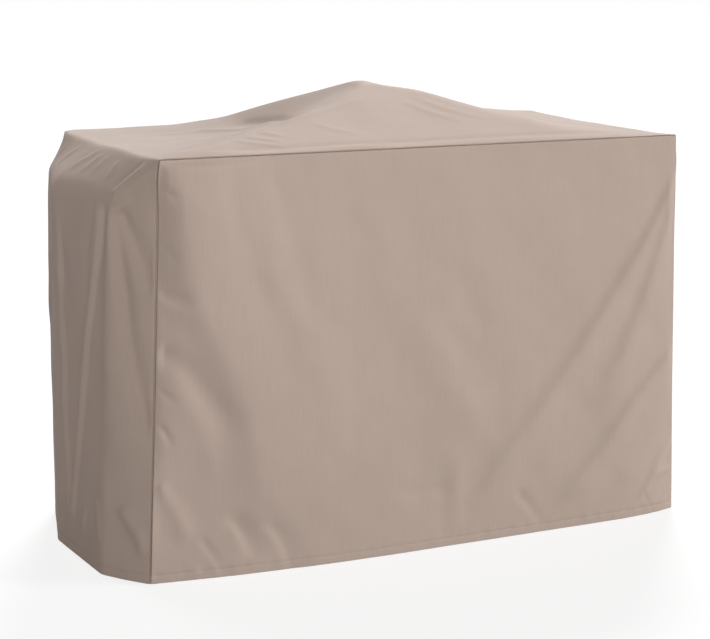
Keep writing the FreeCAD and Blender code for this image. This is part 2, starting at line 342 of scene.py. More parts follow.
# Lines of points beside a seam, as distances along the cloth from the cut's end.
EDGE = np.array([0, 2, 4, 5.6, 6.8, 8, 9.2, 10.6, 13, 17, 22]) * MM
EDGE_ALONG, EDGE_DEEP = seam_edge(EDGE)
EDGE_REACH = EDGE_ALONG[-1]
# Lines of points along a hem, as distances from its lowest point, negative on the inner layer.
HEM_ROWS = np.array([-25, -19, -12, -6, -2.5, -1, 0, 1, 2.5, 7, 12, 17, 21, 23.5, 26, 30]) * MM
HEM_LOWEST = HEM_ROWS.tolist().index(0)
HEM_STITCHED = HEM_ROWS.tolist().index(STITCH_HEIGHT)
HEM_UP = len(HEM_ROWS) - 2                # a row of the outer layer, above the stitching
CROWDING = 0.35                           # how much closer the columns stand near the seams


def across(step, width):
    """Columns from one seam to the other: near distance, share of what is between, far distance.

    They are closer together near the seams, where the folds are sharpest.
    Also gives how deep each column is in the near seam and in the far one.
    """
    middle = spread(width, step)[1:-1]
    middle = middle - CROWDING * np.sin(2 * math.pi * middle) / (2 * math.pi)
    near = np.concatenate([EDGE_ALONG, np.full(len(middle) + len(EDGE), EDGE_REACH)])
    share = np.concatenate([np.zeros(len(EDGE)), middle, np.ones(len(EDGE))])
    far = np.concatenate([np.zeros(len(EDGE) + len(middle)), EDGE_REACH - EDGE_ALONG[::-1]])
    near_deep = np.concatenate([EDGE_DEEP, np.zeros(len(middle) + len(EDGE))])
    return near, share, far, near_deep, near_deep[::-1]


# ---- the long sides ----------------------------------------------------------------------------

def left_seam_x(z):
    """Seam line of the left corners: nearly straight, a little fuller near the top."""
    return soft_line(z, [(0, LEFT_HEM_X), (0.12, LEFT_HEM_X + 5 * MM), (0.93, LEFT_TOP_X - 9.5 * MM),
                         (1.02, LEFT_TOP_X - 7 * MM), (SEAM_Z, LEFT_TOP_X)], 30 * MM)


def right_seam_x(z):
    """Seam line of the right corners: upright above, and out towards the hem below."""
    return soft_line(z, [(0, RIGHT_HEM_X), (0.32, RIGHT_TOP_X + 18 * MM), (0.88, RIGHT_TOP_X + 4 * MM),
                         (1.0, RIGHT_TOP_X + 8 * MM), (SEAM_Z, RIGHT_TOP_X)], 30 * MM)


SIDE_STEP = 7.2 * MM                      # size of the long sides' faces
DRAWN = np.array([0.405, 0.914, 0.0]) * 32 * MM


def drawn_back(points):
    """The cloth with its front left seam drawn back, away from the front.

    It moves by DRAWN times smooth steps in and out along the height, times exp(-r / 50 mm), where
    r is the distance from the seam.
    """
    x, y, z = np.moveaxis(points, -1, 0)
    from_seam = np.hypot(x - left_seam_x(z), y - FRONT_Y)
    share = 0.75 * ease(z, 0.12, 0.50) + 0.25 * ease(z, 0.70, 0.82)
    share = share * (1 - ease(z, 0.90, 1.05)) * np.exp(-from_seam / (50 * MM))
    return points + share[..., None] * DRAWN


def bowed_hem(x):
    """How far a long hem stands out of its seams' plane: full in the middle, nothing at the ends."""
    points = [(LEFT_HEM_X, 0.001), (LEFT_HEM_X + 0.20, 0.026), (LEFT_HEM_X + 0.45, 0.044),
              (LEFT_HEM_X + 0.66, 0.046), (LEFT_HEM_X + 1.18, 0.039), (LEFT_HEM_X + 1.38, 0.036),
              (LEFT_HEM_X + 1.50, 0.022), (RIGHT_HEM_X, 0.003)]
    return soft_line(x, points, 50 * MM)


def hem_pucker(along, height, seed):
    """The stitched line pulls in a little, and the cloth puckers each side of it."""
    line = np.exp(-((height - STITCH_HEIGHT) / (2.2 * MM)) ** 2)
    beside = np.exp(-((height - STITCH_HEIGHT) / (13 * MM)) ** 2)
    return -1.0 * MM * line + beside * ripple(along, height * 0.4, seed, 0.035, 0.45 * MM)


def held_by_hem(height):
    """Share of the folds' height that the stitched hem leaves: 0.35 at it, all of it from 120 mm up."""
    return 0.35 + 0.65 * ease(height, 0, 0.12)


def long_side(listed, seed, mirrored):
    """Grid of the front panel's outer face, or of the back panel's where mirrored.

    A straight line runs from the top seam down to the bowed hem at every x. The folds and a gentle
    unevenness are added along the normal, and they fade out towards the seams.
    """
    near, share, far, near_deep, far_deep = across(SIDE_STEP, RIGHT_TOP_X - LEFT_TOP_X)
    height, tuck = hem_turn(HEM_ROWS)
    middle = spread(SEAM_Z, SIDE_STEP)[1:-1]
    wall = height[-1] + middle * (SEAM_Z - EDGE_REACH - height[-1])
    z = np.concatenate([height, wall, SEAM_Z - EDGE_ALONG[::-1]])[:, None]
    tuck = np.concatenate([tuck, np.zeros(len(z) - len(tuck))])[:, None]
    top_deep = np.concatenate([np.zeros(len(z) - len(EDGE)), EDGE_DEEP[::-1]])[:, None]
    left, right = left_seam_x(z), right_seam_x(z)
    x = left + near + share * (right - left - 2 * EDGE_REACH) + far
    z = np.broadcast_to(z, x.shape)
    out = bowed_hem(x) * (1 - z / SEAM_Z)
    base = np.stack([x, FRONT_Y - out, z], -1)
    normal = outward(base, 1)
    normal[:HEM_UP] = normal[HEM_UP]
    from_seam = np.minimum(np.minimum(x - left, right - x), SEAM_Z - z)
    loose = ease(from_seam, 2 * MM, 28 * MM)
    raised = folds(x, z, listed) + ripple(x, z, seed, 0.30, 0.9 * MM)
    raised += ripple(x, z, seed + 1, 0.09, 0.25 * MM)
    raised = raised * loose * held_by_hem(z) + hem_pucker(x, z, seed + 2)
    raised = (raised - tuck) * (1 - ease(near_deep + far_deep, 0, SEAM_DEPTH))
    points = base + normal * raised[..., None]
    dive = near_deep[:, None] * INTO_LEFT + far_deep[:, None] * INTO_RIGHT + top_deep[..., None] * INTO_TOP
    points += dive / np.maximum(1, (near_deep + far_deep + top_deep) / SEAM_DEPTH)[..., None]
    v = np.concatenate([HEM_ROWS, z[len(HEM_ROWS):, 0]])[:, None]
    uv = np.stack(np.broadcast_arrays(x, v), -1)
    if mirrored:
        points = points * MIRROR_Y + np.array([0, FRONT_Y + BACK_Y, 0])
    return drawn_back(points), uv


# Folds of the front panel, and then of the back one. Each has its path as (x, z), its height, its
# width at its start and its end, a skew, and the shares of its length that it fades in and out over.
FRONT_FOLDS = [
    # the step that hangs from the left end of the top seam: steep to its left, level to its right
    ([(-0.605, 1.09), (-0.60, 0.93), (-0.59, 0.844), (-0.565, 0.718), (-0.505, 0.588), (-0.44, 0.416),
      (-0.405, 0.192), (-0.365, 0.04)], 14, (110, 170), 0.5, (0.04, 0.25)),
    # slack that hangs between it and the left seam
    ([(-0.69, 0.74), (-0.63, 0.722), (-0.578, 0.70)], -4.5, (13, 24), 0.2, (0.05, 0.5)),
    ([(-0.69, 0.61), (-0.605, 0.53), (-0.525, 0.435), (-0.455, 0.34)], -6.0, (30, 46), 0.0, (0.1, 0.3)),
    ([(-0.66, 0.58), (-0.595, 0.45), (-0.56, 0.34), (-0.515, 0.22)], 2.5, (26, 40), 0.0, (0.1, 0.3)),
    ([(-0.69, 0.26), (-0.637, 0.165), (-0.622, 0.08)], 4.0, (18, 30), 0.0, (0.05, 0.3)),
    ([(-0.68, 0.998), (-0.645, 0.985), (-0.61, 0.955)], -2.5, (6, 12), 0.0, (0.05, 0.5)),
    ([(-0.685, 0.86), (-0.65, 0.838), (-0.62, 0.80)], -3.0, (7, 14), 0.0, (0.05, 0.5)),
    ([(-0.69, 0.50), (-0.66, 0.478), (-0.63, 0.465)], -2.5, (6, 10), 0.0, (0.05, 0.5)),
    ([(-0.70, 0.415), (-0.67, 0.39), (-0.645, 0.34)], -3.0, (6, 11), 0.0, (0.05, 0.5)),
    # puckers that run into the hem
    ([(-0.525, 0.175), (-0.475, 0.115), (-0.44, 0.035)], -5.0, (20, 30), 0.35, (0.35, 0.15)),
    ([(-0.425, 0.145), (-0.375, 0.085), (-0.34, -0.01)], -4.5, (16, 24), 0.35, (0.35, 0.05)),
    ([(-0.59, 0.115), (-0.548, 0.048), (-0.515, -0.01)], -2.6, (9, 13), 0.35, (0.2, 0.05)),
    ([(0.30, 0.135), (0.355, 0.07), (0.391, 0.01)], -3.0, (13, 14), 0.3, (0.2, 0.1)),
    ([(0.715, 0.08), (0.745, 0.03), (0.77, -0.01)], -3.0, (6, 8), 0.0, (0.2, 0.1)),
    # soft hanging folds under the top seam
    ([(-0.495, 1.046), (-0.46, 0.872), (-0.40, 0.706), (-0.32, 0.50)], -2.0, (24, 50), 0.0, (0.1, 0.4)),
    ([(-0.385, 1.04), (-0.335, 0.90), (-0.29, 0.72), (-0.27, 0.52)], -2.2, (24, 50), 0.0, (0.1, 0.4)),
    ([(-0.41, 0.905), (-0.345, 0.70), (-0.24, 0.49), (-0.23, 0.20)], 2.5, (36, 60), 0.0, (0.2, 0.3)),
    ([(-0.16, 1.02), (-0.15, 0.88), (-0.12, 0.70)], -1.8, (36, 60), 0.0, (0.2, 0.4)),
    # the long drags from the right seam down to the left
    ([(0.83, 0.97), (0.72, 0.785), (0.60, 0.615), (0.505, 0.485), (0.38, 0.33), (0.285, 0.23),
      (0.17, 0.08)], 7.5, (26, 48), 0.3, (0.03, 0.15)),
    ([(0.83, 0.93), (0.772, 0.78), (0.725, 0.64), (0.665, 0.505), (0.60, 0.39), (0.53, 0.32)],
     6.5, (22, 48), 0.3, (0.03, 0.3)),
    ([(0.83, 0.475), (0.765, 0.41), (0.685, 0.33), (0.60, 0.222), (0.505, 0.12), (0.42, 0.06)],
     7.0, (24, 44), 0.3, (0.03, 0.2)),
    ([(0.835, 0.22), (0.78, 0.16), (0.745, 0.09)], 3.5, (13, 18), 0.2, (0.05, 0.3)),
    ([(0.835, 0.125), (0.76, 0.11), (0.705, 0.05)], 4.5, (10, 13), 0.2, (0.05, 0.2)),
    # slack in the middle
    ([(0.02, 0.66), (0.095, 0.51), (0.155, 0.39), (0.21, 0.28)], 5.0, (48, 64), -0.2, (0.25, 0.3)),
    ([(0.14, 0.27), (0.13, 0.16), (0.13, 0.03)], 3.2, (32, 24), -0.2, (0.3, 0.1)),
    ([(0.16, 0.76), (0.17, 0.65), (0.26, 0.58)], -2.6, (30, 44), 0.0, (0.3, 0.3)),
    ([(-0.03, 0.15), (0.07, 0.16), (0.12, 0.13)], -2.5, (20, 20), 0.0, (0.3, 0.3)),
]

BACK_FOLDS = [
    ([(-0.60, 1.04), (-0.57, 0.83), (-0.50, 0.58), (-0.42, 0.33)], 5.0, (26, 52), 0.1, (0.1, 0.35)),
    ([(-0.67, 0.78), (-0.60, 0.64), (-0.50, 0.47)], -5.0, (20, 40), 0.2, (0.1, 0.4)),
    ([(-0.69, 0.42), (-0.62, 0.31), (-0.56, 0.18)], -3.5, (18, 34), 0.1, (0.1, 0.5)),
    ([(-0.30, 1.02), (-0.31, 0.78), (-0.26, 0.50)], -3.0, (26, 48), 0.0, (0.15, 0.4)),
    ([(-0.10, 1.0), (-0.14, 0.72), (-0.06, 0.42), (0.02, 0.18)], 3.0, (30, 50), 0.0, (0.2, 0.3)),
    ([(0.80, 0.98), (0.68, 0.76), (0.50, 0.53), (0.30, 0.36)], 4.5, (20, 42), 0.25, (0.06, 0.3)),
    ([(0.81, 0.60), (0.70, 0.43), (0.55, 0.27), (0.44, 0.10)], 4.0, (18, 36), 0.25, (0.08, 0.25)),
    ([(0.25, 0.98), (0.23, 0.80), (0.28, 0.66)], -2.5, (28, 44), 0.0, (0.2, 0.4)),
    ([(0.82, 0.26), (0.74, 0.14), (0.70, 0.05)], 2.5, (14, 24), 0.2, (0.1, 0.3)),
]


# ---- the strip over the ends and the top --------------------------------------------------------

def level_between(y):
    """0 at both seams and 1 between them, rising fast and then level, as slack cloth sags."""
    share = np.clip((y - FRONT_Y) / (BACK_Y - FRONT_Y), 0, 1)
    return (4 * share * (1 - share)) ** 0.6


def strip_stations(y):
    """Corners of the strip's own section at every y, from the left hem to the right one, as (x, z).

    They are the left hem, the bend over the side handle, the top's left edge, the top's right edge
    and the right hem. Each is a line through a few places, with rounded corners.
    """
    front, back = FRONT_Y, BACK_Y
    slack = level_between(y)
    hem_x = soft_line(y, [(front, LEFT_HEM_X), (-0.343, -0.762), (-0.279, -0.8065), (-0.133, -0.822),
                          (0.03, -0.839), (0.13, -0.816), (0.279, -0.783), (0.343, -0.746),
                          (back, LEFT_HEM_X)], 14 * MM)
    bend_x = soft_line(y, [(front, LEFT_TOP_X - 6 * MM), (-0.279, -0.751), (-0.15, -0.790), (0.02, -0.826),
                           (0.15, -0.796), (0.279, -0.766), (back, LEFT_TOP_X - 6 * MM)], 16 * MM)
    bend_z = soft_line(y, [(front, SEAM_Z - 10 * MM), (-0.279, 0.970), (-0.10, 0.971), (0.09, 0.980),
                           (0.285, 0.980), (back, SEAM_Z - 10 * MM)], 16 * MM)
    edge_x = soft_line(y, [(front, LEFT_TOP_X), (-0.2, -0.688), (-0.05, -0.697), (0.3, -0.707),
                           (0.365, -0.699), (back, LEFT_TOP_X)], 14 * MM)
    edge_z = soft_line(y, [(front, SEAM_Z), (-0.2, SEAM_Z - 1 * MM), (0.2, SEAM_Z - 1 * MM),
                           (0.34, SEAM_Z + 4 * MM), (back, SEAM_Z)], 20 * MM)
    ground = np.zeros_like(y)
    return [(hem_x, ground), (bend_x, bend_z), (edge_x, edge_z),
            (RIGHT_TOP_X + 4 * MM * slack, SEAM_Z - 5 * MM * slack), (RIGHT_HEM_X + ground, ground)]


def chain(run, stations, lengths, roundings):
    """Point run along straight stretches between stations, each corner rounded by a parabola.

    It is the first station, plus the first direction times run, plus at every corner the change of
    direction times the rounded distance past it.
    """
    ways = [(after - before) / length[..., None]
            for before, after, length in zip(stations[:-1], stations[1:], lengths)]
    point = stations[0] + ways[0] * run[..., None]
    passed = lengths[0]
    for before, after, length, rounding in zip(ways[:-1], ways[1:], lengths[1:], roundings):
        point = point + (after - before) * ramp(run - passed, rounding)[..., None]
        passed = passed + length
    return point


def tent(x, y):
    """Height of the cloth over the top's own plane, held up by the lid in the middle.

    At every x it is three straight stretches from the front seam to the back one: up the front
    slope to the front crease, over to the back crease, and down the back slope. The creases run
    from the ridge to the corners. The cloth dips between them as a squared sine.
    """
    left, right = LEFT_TOP_X, RIGHT_TOP_X
    front_rise = soft_line(x, [(left - 0.2, 0), (left, 0), (-0.45, 0.033), (-0.23, 0.071), (RIDGE_X, 0.140),
                               (0.18, 0.123), (0.30, 0.086), (0.36, 0.067), (0.52, 0.031), (0.70, 0.006),
                               (right, 0), (right + 0.2, 0)], 26 * MM)
    back_rise = soft_line(x, [(left - 0.2, 0), (left, 0), (-0.52, 0.001), (-0.38, 0.004), (-0.25, 0.026),
                              (-0.11, 0.087), (RIDGE_X, 0.149), (0.20, 0.115), (0.34, 0.070),
                              (0.52, 0.032), (right, 0.004), (right + 0.2, 0)], 26 * MM)
    dip = soft_line(x, [(left - 0.2, 0), (left, 0), (-0.45, 0.012), (-0.22, 0.026), (-0.05, 0.006),
                        (RIDGE_X, 0), (0.25, 0.012), (0.5, 0.012), (right, 0), (right + 0.2, 0)], 30 * MM)
    front_crease = FRONT_Y + front_rise / FRONT_SLOPE
    back_crease = BACK_Y - back_rise / BACK_SLOPE
    over = (back_rise - front_rise) / (back_crease - front_crease)
    soft_front = 9 * MM + 50 * MM * ease(x, RIDGE_X, RIDGE_X + 0.3)
    near, far = ramp(y - front_crease, soft_front), ramp(y - back_crease, 30 * MM)
    height = FRONT_SLOPE * (y - FRONT_Y) + (over - FRONT_SLOPE) * near - (BACK_SLOPE + over) * far
    share = np.clip((y - front_crease) / (back_crease - front_crease), 0, 1)
    inside = ease(y, FRONT_Y - 1e-6, FRONT_Y + 6 * MM)
    return np.maximum(height, 0) * inside - dip * np.sin(math.pi * share) ** 2


# Folds of the left end, with their paths as (y, z). Most of them fan out from the front end of the
# bend over the side handle.
LEFT_FOLDS = [
    # crisp edge from there up to the corner, and the groove above it
    ([(-0.279, 0.970), (-0.305, 1.003), (-0.353, 1.052)], 4.0, (8, 8), 0.0, (0.03, 0.2)),
    ([(-0.262, 0.985), (-0.295, 1.02), (-0.335, 1.06)], -2.0, (8, 7), 0.0, (0.1, 0.2)),
    # sharp ridge down the end, with a short one beside it and a hollow in front of it
    ([(-0.235, 0.955), (-0.224, 0.854), (-0.20, 0.698), (-0.176, 0.566), (-0.154, 0.431), (-0.129, 0.292),
      (-0.092, 0.14), (-0.062, 0.04)], 8.0, (14, 13), 0.35, (0.04, 0.12)),
    ([(-0.226, 0.955), (-0.204, 0.86), (-0.181, 0.73)], 3.0, (8, 8), 0.0, (0.1, 0.5)),
    ([(-0.243, 0.955), (-0.24, 0.88), (-0.228, 0.78)], 2.5, (8, 8), 0.0, (0.1, 0.5)),
    ([(-0.258, 0.955), (-0.25, 0.86), (-0.24, 0.74)], -4.0, (16, 24), 0.0, (0.15, 0.5)),
    # round ridge that hangs from the front end of the bend
    ([(-0.285, 0.955), (-0.281, 0.85), (-0.284, 0.72), (-0.292, 0.60), (-0.303, 0.46), (-0.318, 0.33),
      (-0.335, 0.18)], 10.0, (26, 52), -0.2, (0.03, 0.3)),
    # hollows that fan out from there to the seam
    ([(-0.290, 0.94), (-0.306, 0.80), (-0.319, 0.717), (-0.338, 0.59), (-0.364, 0.47), (-0.39, 0.35)],
     -13.0, (14, 22), -0.3, (0.04, 0.15)),
    ([(-0.30, 0.945), (-0.316, 0.905), (-0.338, 0.85), (-0.365, 0.785), (-0.392, 0.70)],
     -14.0, (14, 26), -0.3, (0.05, 0.4)),
    ([(-0.335, 1.005), (-0.343, 0.93), (-0.362, 0.87), (-0.392, 0.80)], -4.0, (24, 20), 0.0, (0.15, 0.2)),
    ([(-0.372, 0.43), (-0.393, 0.385)], -3.5, (8, 8), 0.0, (0.3, 0.2)),
    ([(-0.325, 0.20), (-0.355, 0.155), (-0.376, 0.118), (-0.394, 0.07)], 10.0, (18, 18), 0.0, (0.2, 0.1)),
    # ridge over the outermost end of the side handle
    ([(-0.012, 0.93), (-0.018, 0.80), (-0.022, 0.67), (-0.034, 0.52), (-0.038, 0.40), (-0.05, 0.27),
      (-0.06, 0.13), (-0.05, 0.03)], 6.5, (12, 14), 0.2, (0.1, 0.1)),
    ([(-0.022, 0.855), (-0.045, 0.75), (-0.103, 0.65)], -4.0, (18, 26), 0.0, (0.2, 0.4)),
    # short ones that run to the hem
    ([(-0.235, 0.20), (-0.25, 0.135), (-0.262, 0.06)], 4.5, (10, 10), 0.0, (0.2, 0.2)),
    ([(-0.17, 0.15), (-0.145, 0.085), (-0.12, 0.02)], 4.0, (10, 10), 0.0, (0.2, 0.2)),
    ([(-0.04, 0.20), (0.0, 0.155), (0.045, 0.10)], 4.0, (12, 12), 0.0, (0.2, 0.3)),
    # back half
    ([(0.14, 0.955), (0.17, 0.62), (0.15, 0.30), (0.18, 0.05)], 6.0, (18, 46), 0.0, (0.35, 0.3)),
    ([(0.258, 0.965), (0.245, 0.74), (0.215, 0.42)], 7.0, (12, 36), 0.0, (0.3, 0.4)),
    ([(0.285, 0.965), (0.325, 0.79), (0.37, 0.62)], 6.0, (10, 24), 0.0, (0.2, 0.3)),
    ([(0.275, 0.955), (0.30, 0.70), (0.33, 0.46)], -6.0, (10, 28), 0.0, (0.3, 0.4)),
    # short wrinkles over the slope above the bend
    ([(0.012, 1.008), (-0.02, 1.035), (-0.045, 1.058)], 3.0, (9, 9), 0.0, (0.2, 0.2)),
    ([(-0.062, 1.0), (-0.085, 1.052)], 3.2, (8, 8), 0.0, (0.3, 0.2)),
    ([(-0.12, 1.01), (-0.13, 1.052)], 2.2, (8, 8), 0.0, (0.3, 0.2)),
    ([(-0.222, 1.0), (-0.195, 1.045)], 3.0, (9, 8), 0.0, (0.3, 0.2)),
    ([(0.158, 0.998), (0.116, 1.054)], 3.0, (10, 9), 0.0, (0.3, 0.2)),
    ([(0.25, 1.0), (0.24, 1.05)], 2.5, (10, 9), 0.0, (0.3, 0.3)),
]

# Folds of the top, with their paths as (x, y).
TOP_FOLDS = [
    # the crease in front, a crisp line in its lower half, and the hollow behind it
    ([(-0.30, -0.247), (-0.20, -0.204), (-0.10, -0.164), (0.03, -0.112)], 3.0, (9, 9), 0.0, (0.2, 0.3)),
    ([(-0.60, -0.366), (-0.50, -0.333), (-0.40, -0.291), (-0.32, -0.256), (-0.25, -0.226)],
     -3.5, (8, 8), 0.0, (0.2, 0.2)),
    ([(-0.60, -0.325), (-0.45, -0.255), (-0.33, -0.20)], -4.0, (14, 22), 0.0, (0.1, 0.4)),
    # the foot of the tent's left slope
    ([(-0.27, -0.225), (-0.21, -0.10), (-0.19, 0.03), (-0.21, 0.10), (-0.25, 0.19)],
     -6.0, (28, 30), 0.5, (0.3, 0.1)),
    # the edge of the level part, in front of that foot
    ([(-0.40, 0.20), (-0.33, 0.08), (-0.29, -0.03), (-0.285, -0.13), (-0.305, -0.215)],
     6.0, (26, 22), 0.0, (0.2, 0.1)),
    # wrinkles between the crease and the seam
    ([(-0.36, -0.283), (-0.30, -0.312)], 2.0, (7, 8), 0.0, (0.1, 0.4)),
    ([(-0.41, -0.303), (-0.31, -0.342)], 2.0, (7, 9), 0.0, (0.1, 0.4)),
    ([(-0.45, -0.32), (-0.30, -0.368)], 1.8, (7, 9), 0.0, (0.1, 0.4)),
    # the rest
    ([(-0.60, -0.06), (-0.42, 0.02), (-0.25, 0.02)], 2.0, (12, 20), 0.0, (0.3, 0.4)),
    ([(-0.62, 0.10), (-0.48, 0.15), (-0.33, 0.14)], 2.0, (10, 20), 0.0, (0.3, 0.4)),
    ([(0.09, -0.13), (0.15, -0.21), (0.24, -0.28)], 1.8, (10, 16), 0.0, (0.3, 0.4)),
    ([(0.14, -0.12), (0.22, -0.21), (0.33, -0.27)], 1.6, (9, 15), 0.0, (0.3, 0.4)),
    ([(-0.22, -0.235), (-0.15, -0.29), (-0.08, -0.33)], 1.4, (8, 12), 0.0, (0.3, 0.4)),
    ([(-0.55, -0.368), (-0.1, -0.366), (0.40, -0.362), (0.72, -0.355)], -1.8, (9, 12), 0.0, (0.1, 0.1)),
    ([(0.30, 0.12), (0.48, -0.04), (0.66, -0.12)], 2.5, (22, 40), 0.0, (0.3, 0.4)),
    ([(0.28, 0.20), (0.45, 0.24), (0.66, 0.28)], 2.5, (22, 40), 0.0, (0.3, 0.4)),
]

# Folds of the right end, with their paths as (y, z).
RIGHT_FOLDS = [
    ([(-0.36, 1.02), (-0.27, 0.80), (-0.22, 0.52), (-0.20, 0.24)], 5.0, (18, 40), 0.1, (0.06, 0.3)),
    ([(-0.37, 0.86), (-0.33, 0.62), (-0.32, 0.36)], -4.0, (14, 30), 0.0, (0.1, 0.4)),
    ([(0.36, 1.02), (0.29, 0.78), (0.26, 0.46)], 5.0, (18, 40), -0.1, (0.06, 0.4)),
    ([(0.37, 0.70), (0.34, 0.45), (0.35, 0.20)], -3.5, (14, 28), 0.0, (0.1, 0.4)),
    ([(0.02, 1.0), (0.04, 0.72), (0.0, 0.40), (0.03, 0.15)], 4.0, (26, 48), 0.0, (0.15, 0.3)),
    ([(-0.10, 0.98), (-0.12, 0.70), (-0.09, 0.45)], -3.0, (24, 40), 0.0, (0.15, 0.4)),
]


def cut_edge(points):
    """Line of a long side's cut edge in its seams: up the left one, along the top, down the right."""
    return np.concatenate([points[HEM_LOWEST:, 0], points[-1, 1:-1], points[:HEM_LOWEST - 1:-1, -1]])


def station_on(line, points):
    """Where on a line, counted in its own points, the nearest place to each of the points is."""
    start, step = line[:-1], np.diff(line, axis=0)
    reach = points[:, None] - start
    share = np.clip((reach * step).sum(-1) / (step ** 2).sum(-1), 0, 1)
    near = ((reach - share[..., None] * step) ** 2).sum(-1).argmin(1)
    return near + share[np.arange(len(points)), near]


def sewn_to(points, edge, line, from_seam, deep):
    """The strip moved so that its cut edge meets a long side's one in their seam.

    The move's even part, a running mean over 13 rows, fades out over 60 mm from the seam. The rest
    of it stays inside the groove.
    """
    at = station_on(line, edge)
    move = np.stack([np.interp(at, np.arange(len(line)), values) for values in line.T], -1) - edge
    padded = np.pad(move, ((6, 6), (0, 0)), "edge")
    even = np.mean([padded[k:k + len(move)] for k in range(13)], axis=0)
    wide = (1 - ease(from_seam, 0, 60 * MM))[..., None]
    return points + wide * even[:, None] + (deep / SEAM_DEPTH)[:, None] * (move - even)[:, None]


# The strip's stretches between its stations: about how long each is, and its faces' size along it.
STRETCHES = ((0.94, 7.2 * MM), (0.12, 7 * MM), (1.48, 10 * MM), (1.04, 19 * MM))
STRIP_STEP = 7.4 * MM                     # size of its faces from seam to seam
BLEND = 15 * MM                           # each way, where one stretch's folds give way to the next one's


def strip(seed, front_line, back_line):
    """Grid of the strip's outer face, from the left hem's inner layer to the right hem's.

    Its section is a chain of straight stretches at every y, with the tent added to the top. Folds
    and unevenness are added along the normal. They fade out towards the seams, and under the straps.
    """
    depth = BACK_Y - FRONT_Y
    near, share, far, near_deep, far_deep = across(STRIP_STEP, depth)
    y = (FRONT_Y + near + share * (depth - 2 * EDGE_REACH) + far)[None, :]
    stations = [np.stack(np.broadcast_arrays(*station), -1) for station in strip_stations(y)]
    lengths = [np.linalg.norm(after - before, axis=-1)
               for before, after in zip(stations[:-1], stations[1:])]
    starts = np.cumsum([np.zeros_like(lengths[0])] + lengths, axis=0)
    height, tuck = hem_turn(HEM_ROWS)
    hem, hem_count = height[:, None], len(height)
    up, bend, top, down = (spread(length, step)[:, None] for length, step in STRETCHES)
    run = np.concatenate([
        np.broadcast_to(hem, (hem_count, y.size)),
        hem[-1] + up[1:-1] * (lengths[0] - hem[-1]),
        starts[1] + bend[:-1] * lengths[1],
        starts[2] + top[:-1] * lengths[2],
        starts[3] + down[:-1] * (lengths[3] - hem[-1]),
        np.broadcast_to(starts[4] - hem[::-1], (hem_count, y.size)),
    ])
    tuck = np.concatenate([tuck, np.zeros(len(run) - 2 * hem_count), tuck[::-1]])[:, None]
    from_corner = np.minimum(y - FRONT_Y, BACK_Y - y)
    bend_round = 3 * MM + 12 * MM * ease(from_corner, 0.01, 0.11) + 26 * MM * ease(from_corner, 0.12, 0.3)
    edge_round = 3 * MM + 8 * MM * ease(from_corner, 0.01, 0.1)
    right_round = 3 * MM + 6 * MM * ease(from_corner, 0.01, 0.1)
    section = chain(run, stations, lengths, [bend_round, edge_round, right_round])
    x, z = section[..., 0], section[..., 1]
    y = np.broadcast_to(y, x.shape)
    past_left, past_right = run - starts[2], run - starts[3]
    z = z + tent(x, y) * ease(past_left, 0, 20 * MM) * (1 - ease(past_right, -20 * MM, 0))
    base = np.stack([x, y, z], -1)
    normal = outward(base, -1)
    normal[:HEM_UP] = normal[HEM_UP]
    normal[-HEM_UP:] = normal[-HEM_UP - 1]

    on_right = ease(past_right, -BLEND, BLEND)
    on_top = ease(past_left, -BLEND, BLEND) * (1 - on_right)
    on_left = 1 - on_top - on_right
    raised = on_left * (folds(y, z, LEFT_FOLDS) + ripple(y, z, seed, 0.2, 0.9 * MM))
    raised += on_top * (folds(x, y, TOP_FOLDS) + ripple(x, y, seed + 1, 0.25, 1.0 * MM))
    raised += on_right * (folds(y, z, RIGHT_FOLDS) + ripple(y, z, seed + 2, 0.25, 1.2 * MM))
    raised *= ease(from_corner, 2 * MM, 22 * MM)
    # The cloth lies flat where the straps are sewn, 75 to 290 mm to each side of the middle.
    from_middle, from_hem = np.abs(y), np.minimum(run, starts[4] - run)
    sewn = ease(from_middle, 0.055, 0.075) * (1 - ease(from_middle, 0.29, 0.31))
    raised *= 1 - sewn * (1 - ease(from_hem, 0.07, 0.10))
    raised = raised * held_by_hem(from_hem) + hem_pucker(y, from_hem, seed + 3)
    raised = (raised - tuck) * (1 - ease(near_deep + far_deep, 0, SEAM_DEPTH))
    points = base + normal * raised[..., None]

    turn = 8 * MM
    left_share = (1 - ease(past_left, -turn, turn))[..., None]
    right_share = ease(past_right, -turn, turn)[..., None]
    into = left_share * INTO_LEFT + right_share * INTO_RIGHT + (1 - left_share - right_share) * INTO_TOP
    points += near_deep[:, None] * into + far_deep[:, None] * into * MIRROR_Y
    v = run.copy()
    v[:hem_count] = HEM_ROWS[:, None]
    v[-hem_count:] = starts[4] - HEM_ROWS[::-1, None]
    points = drawn_back(points)
    points = sewn_to(points, points[:, 0], front_line, y - FRONT_Y, near_deep)
    points = sewn_to(points, points[:, -1], back_line, BACK_Y - y, far_deep)
    return points, np.stack([y, v], -1)


# ---- tape over the seams, inside ---------------------------------------------------------------

def at_index(grid, row, column):
    """Values of a grid at fractional rows and columns, by straight lines between its points."""
    top = np.clip(np.floor(row).astype(int), 0, grid.shape[0] - 2)
    side = np.clip(np.floor(column).astype(int), 0, grid.shape[1] - 2)
    down, over = (row - top)[:, None], (column - side)[:, None]
    near = grid[top, side] * (1 - over) + grid[top, side + 1] * over
    far = grid[top + 1, side] * (1 - over) + grid[top + 1, side + 1] * over
    return near * (1 - down) + far * down


